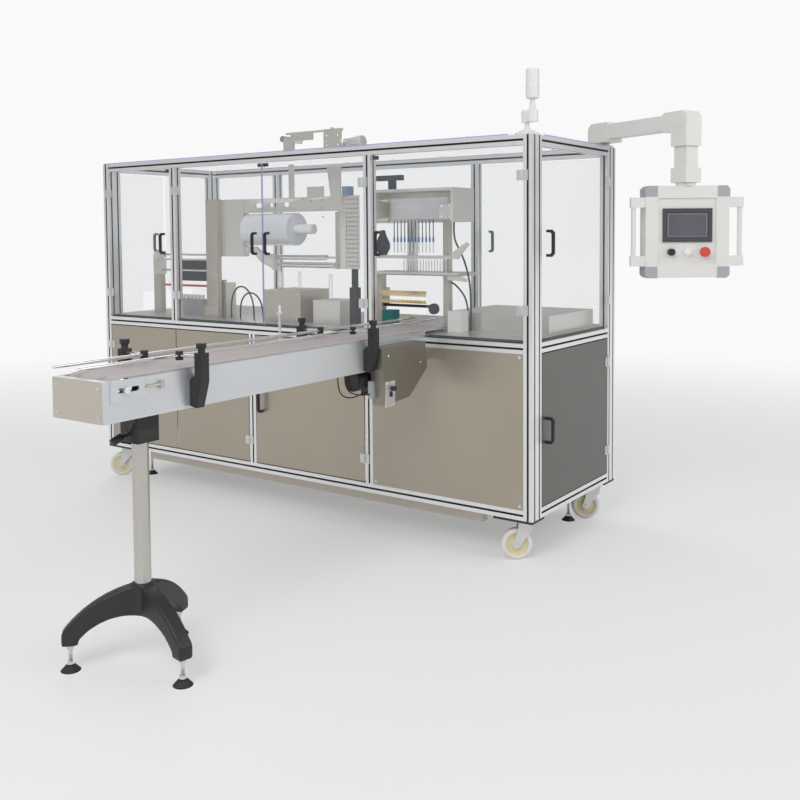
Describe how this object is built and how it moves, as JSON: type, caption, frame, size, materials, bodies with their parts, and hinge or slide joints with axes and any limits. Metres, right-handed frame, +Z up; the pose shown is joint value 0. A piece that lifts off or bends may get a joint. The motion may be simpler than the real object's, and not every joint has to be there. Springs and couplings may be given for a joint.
{
  "type": "overwrapping machine",
  "caption": "Film overwrapping machine in a glazed profile frame on casters, with an infeed conveyor on a stand, hinged doors and a swinging control panel.",
  "frame": {"origin": "centre of the whole footprint on the floor", "axes": "+X along the front towards the control panel, +Y from the operator's side to the rear, +Z up"},
  "size_m": [3.2038, 2.503, 1.934],
  "materials": {
    "acrylic": "clear polished",
    "anodised_aluminium": "satin anodised extrusion",
    "belt": "matt",
    "black_gloss": "gloss",
    "black_paint": "satin",
    "black_plastic": "satin",
    "brass": "satin",
    "chrome": "polished",
    "cream_paint": "powder coated",
    "dark_rubber": "matt",
    "dark_steel": "semi-matt",
    "film": "gloss",
    "nylon": "satin",
    "orange_seal": "satin",
    "stainless": "brushed",
    "white_plastic": "gloss",
    "zinc": "satin zinc"
  },
  "bodies": {
    "machine": {"posts": "anodised_aluminium", "top_rails": "anodised_aluminium", "middle_rails": "anodised_aluminium", "bottom_rails": "anodised_aluminium", "table_plate": "stainless", "roof_sheet": "acrylic", "frame_hinge_leaves": "zinc", "fixed_panes": "acrylic", "fixed_panels": "stainless", "base_frame": "dark_steel", "levelling_feet": "dark_rubber", "caster_mounts": "orange_seal", "conveyor_frame": "stainless", "conveyor_belt": "belt", "guide_rods": "chrome", "guide_brackets": "black_plastic", "drive_box": "stainless", "drive_motor": "black_paint", "motor_lead_1": "black_plastic", "motor_lead_2": "black_plastic", "stand_tube": "stainless", "stand_castings": "black_plastic", "signal_lamp": "white_plastic", "arm_base": "cream_paint", "film_frame": "stainless", "table_boxes": "stainless", "folding_frame": "stainless", "folding_combs": "brass", "roof_unit": "stainless"},
    "upper_door_1": {"upper_door_1": "acrylic", "upper_door_1_fittings": "zinc"},
    "upper_door_2": {"upper_door_2": "acrylic", "upper_door_2_fittings": "zinc"},
    "upper_door_3": {"upper_door_3": "acrylic", "upper_door_3_fittings": "zinc"},
    "upper_door_4": {"upper_door_4": "acrylic", "upper_door_4_fittings": "zinc"},
    "right_upper_door": {"right_upper_door": "acrylic", "right_upper_door_fittings": "zinc"},
    "end_door": {"end_door": "acrylic", "end_door_fittings": "zinc"},
    "rear_door": {"rear_door": "acrylic", "rear_door_fittings": "zinc"},
    "lower_door_1": {"lower_door_1": "stainless"},
    "lower_door_2": {"lower_door_2": "stainless"},
    "lower_door_3": {"lower_door_3": "stainless"},
    "right_lower_door": {"right_lower_door": "stainless"},
    "caster_1": {"caster_fork_1": "zinc"},
    "wheel_1": {"caster_wheel_1": "nylon"},
    "caster_2": {"caster_fork_2": "zinc"},
    "wheel_2": {"caster_wheel_2": "nylon"},
    "caster_3": {"caster_fork_3": "zinc"},
    "wheel_3": {"caster_wheel_3": "nylon"},
    "caster_4": {"caster_fork_4": "zinc"},
    "wheel_4": {"caster_wheel_4": "nylon"},
    "arm": {"arm_tubes": "cream_paint"},
    "panel": {"control_panel": "cream_paint", "panel_grips": "cream_paint", "panel_face": "black_gloss"},
    "film_reel": {"film_roll": "film"}
  },
  "joints": [
    {"name": "upper_door_1_hinge", "type": "hinge", "parent": "machine", "child": "upper_door_1", "pos_m": [-1.52545, 0.399, 1.264], "axis": [0, 0, -1], "range_deg": [0, 110]},
    {"name": "upper_door_2_hinge", "type": "hinge", "parent": "machine", "child": "upper_door_2", "pos_m": [-1.00845, 0.399, 1.264], "axis": [0, 0, -1], "range_deg": [0, 100]},
    {"name": "upper_door_3_hinge", "type": "hinge", "parent": "machine", "child": "upper_door_3", "pos_m": [0.17355, 0.399, 1.264], "axis": [0, 0, 1], "range_deg": [0, 90]},
    {"name": "upper_door_4_hinge", "type": "hinge", "parent": "machine", "child": "upper_door_4", "pos_m": [0.94555, 0.399, 1.264], "axis": [0, 0, 1], "range_deg": [0, 110]},
    {"name": "right_upper_door_hinge", "type": "hinge", "parent": "machine", "child": "right_upper_door", "pos_m": [0.99255, 1.135, 1.264], "axis": [0, 0, 1], "range_deg": [0, 30]},
    {"name": "end_door_hinge", "type": "hinge", "parent": "machine", "child": "end_door", "pos_m": [-1.57245, 0.486, 1.264], "axis": [0, 0, 1], "range_deg": [0, 110]},
    {"name": "rear_door_hinge", "type": "hinge", "parent": "machine", "child": "rear_door", "pos_m": [0.94555, 1.222, 1.264], "axis": [0, 0, -1], "range_deg": [0, 90]},
    {"name": "lower_door_1_hinge", "type": "hinge", "parent": "machine", "child": "lower_door_1", "pos_m": [-1.52545, 0.399, 0.52], "axis": [0, 0, -1], "range_deg": [0, 110]},
    {"name": "lower_door_2_hinge", "type": "hinge", "parent": "machine", "child": "lower_door_2", "pos_m": [-0.51845, 0.399, 0.52], "axis": [0, 0, 1], "range_deg": [0, 90]},
    {"name": "lower_door_3_hinge", "type": "hinge", "parent": "machine", "child": "lower_door_3", "pos_m": [0.17355, 0.399, 0.52], "axis": [0, 0, 1], "range_deg": [0, 90]},
    {"name": "right_lower_door_hinge", "type": "hinge", "parent": "machine", "child": "right_lower_door", "pos_m": [0.99255, 1.135, 0.52], "axis": [0, 0, 1], "range_deg": [0, 110]},
    {"name": "caster_swivel_1", "type": "hinge", "parent": "machine", "child": "caster_1", "pos_m": [-1.49895, 0.4795, 0.167], "axis": [0, 0, 1], "continuous": true},
    {"name": "wheel_roll_1", "type": "hinge", "parent": "caster_1", "child": "wheel_1", "pos_m": [-1.52844, 0.45885, 0.0645], "axis": [0.5736, -0.8192, 0], "continuous": true},
    {"name": "caster_swivel_2", "type": "hinge", "parent": "machine", "child": "caster_2", "pos_m": [-1.49895, 1.1415, 0.167], "axis": [0, 0, 1], "continuous": true},
    {"name": "wheel_roll_2", "type": "hinge", "parent": "caster_2", "child": "wheel_2", "pos_m": [-1.52844, 1.12085, 0.0645], "axis": [0.5736, -0.8192, 0], "continuous": true},
    {"name": "caster_swivel_3", "type": "hinge", "parent": "machine", "child": "caster_3", "pos_m": [0.91905, 0.4795, 0.167], "axis": [0, 0, 1], "continuous": true},
    {"name": "wheel_roll_3", "type": "hinge", "parent": "caster_3", "child": "wheel_3", "pos_m": [0.88956, 0.45885, 0.0645], "axis": [0.5736, -0.8192, 0], "continuous": true},
    {"name": "caster_swivel_4", "type": "hinge", "parent": "machine", "child": "caster_4", "pos_m": [0.91905, 1.1415, 0.167], "axis": [0, 0, 1], "continuous": true},
    {"name": "wheel_roll_4", "type": "hinge", "parent": "caster_4", "child": "wheel_4", "pos_m": [0.88956, 1.12085, 0.0645], "axis": [0.5736, -0.8192, 0], "continuous": true},
    {"name": "arm_swing", "type": "hinge", "parent": "machine", "child": "arm", "pos_m": [0.94205, 1.1655, 1.749], "axis": [0, 0, 1], "range_deg": [0, 85]},
    {"name": "panel_turn", "type": "hinge", "parent": "arm", "child": "panel", "pos_m": [1.40133, 0.94149, 1.49], "axis": [0, 0, 1], "range_deg": [-60, 60]},
    {"name": "film_reel_spin", "type": "hinge", "parent": "machine", "child": "film_reel", "pos_m": [-0.53295, 0.5755, 1.33], "axis": [1, 0, 0], "continuous": true}
  ]
}
